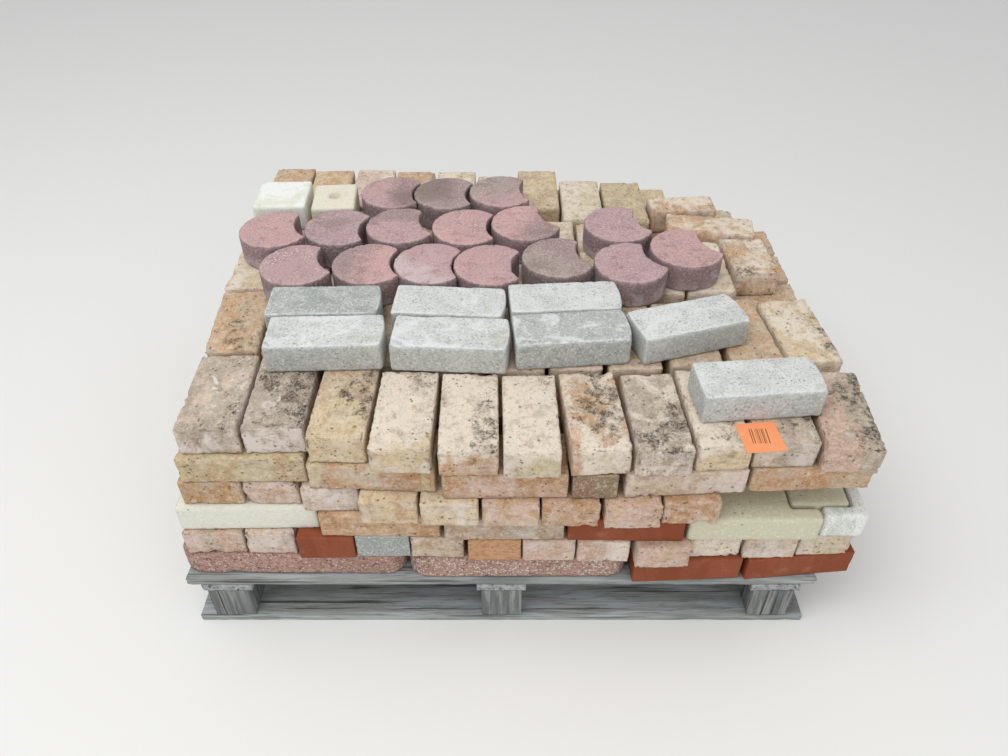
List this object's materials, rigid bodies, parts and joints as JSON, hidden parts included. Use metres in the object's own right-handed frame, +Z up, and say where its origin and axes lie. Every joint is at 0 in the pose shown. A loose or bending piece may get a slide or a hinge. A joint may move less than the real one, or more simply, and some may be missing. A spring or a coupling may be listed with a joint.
{
  "type": "pallet of bricks",
  "caption": "Block pallet loaded with dry-stacked reclaimed bricks in courses, topped with crescent pavers, grey pavers and part firebricks.",
  "frame": {"origin": "on the floor, under the middle of the pallet's middle bottom board", "axes": "+X to the right along the pallet's long front side, +Y from the front to the back, +Z up"},
  "size_m": [1.285, 1.0388, 0.56],
  "materials": {
    "aggregate": "exposed aggregate",
    "buff_brick": "reclaimed, weathered and sooty",
    "concrete": "cast concrete, dry",
    "core": "plain, unseen",
    "crescent_stone": "cast pigmented concrete, dusty",
    "firebrick": "dense, pale, chipped",
    "red_brick": "smooth, slightly soiled",
    "striated_brick": "combed face",
    "tag_paper": "matt coated",
    "wood": "weathered softwood, rough"
  },
  "bodies": {
    "root": {"bottom_board_back": "wood", "bottom_board_front": "wood", "bottom_board_middle": "wood", "course_1_aggregate_slabs": "aggregate", "course_1_core": "core", "course_1_smooth_bricks": "red_brick", "course_2_bricks": "buff_brick", "course_2_core": "core", "course_2_grey_paver": "concrete", "course_2_smooth_brick": "red_brick", "course_2_striated_brick": "striated_brick", "course_3_bricks": "buff_brick", "course_3_core": "core", "course_3_corner_block": "concrete", "course_3_cream_firebricks": "firebrick", "course_3_smooth_brick": "red_brick", "course_3_white_firebrick": "firebrick", "course_4_bricks": "buff_brick", "course_4_core": "core", "course_5_bricks": "buff_brick", "course_5_core": "core", "course_6_bricks": "buff_brick", "cream_half_firebrick": "firebrick", "crescent_pavers_back_row": "crescent_stone", "crescent_pavers_front_row": "crescent_stone", "crescent_pavers_middle_row": "crescent_stone", "crescent_pavers_right": "crescent_stone", "deck_board_1": "wood", "deck_board_2": "wood", "deck_board_3": "wood", "deck_board_4": "wood", "deck_board_5": "wood", "deck_board_6": "wood", "deck_board_7": "wood", "grey_paver_pair_left": "concrete", "grey_paver_pair_middle": "concrete", "grey_paver_pair_right": "concrete", "grey_paver_single_back": "concrete", "grey_paver_single_front": "concrete", "pallet_block_back_left": "wood", "pallet_block_back_middle": "wood", "pallet_block_back_right": "wood", "pallet_block_front_left": "wood", "pallet_block_front_middle": "wood", "pallet_block_front_right": "wood", "pallet_block_middle_left": "wood", "pallet_block_middle_middle": "wood", "pallet_block_middle_right": "wood", "paper_tag": "tag_paper", "stringer_board_left": "wood", "stringer_board_middle": "wood", "stringer_board_right": "wood", "white_half_firebrick": "firebrick"}
  },
  "joints": []
}
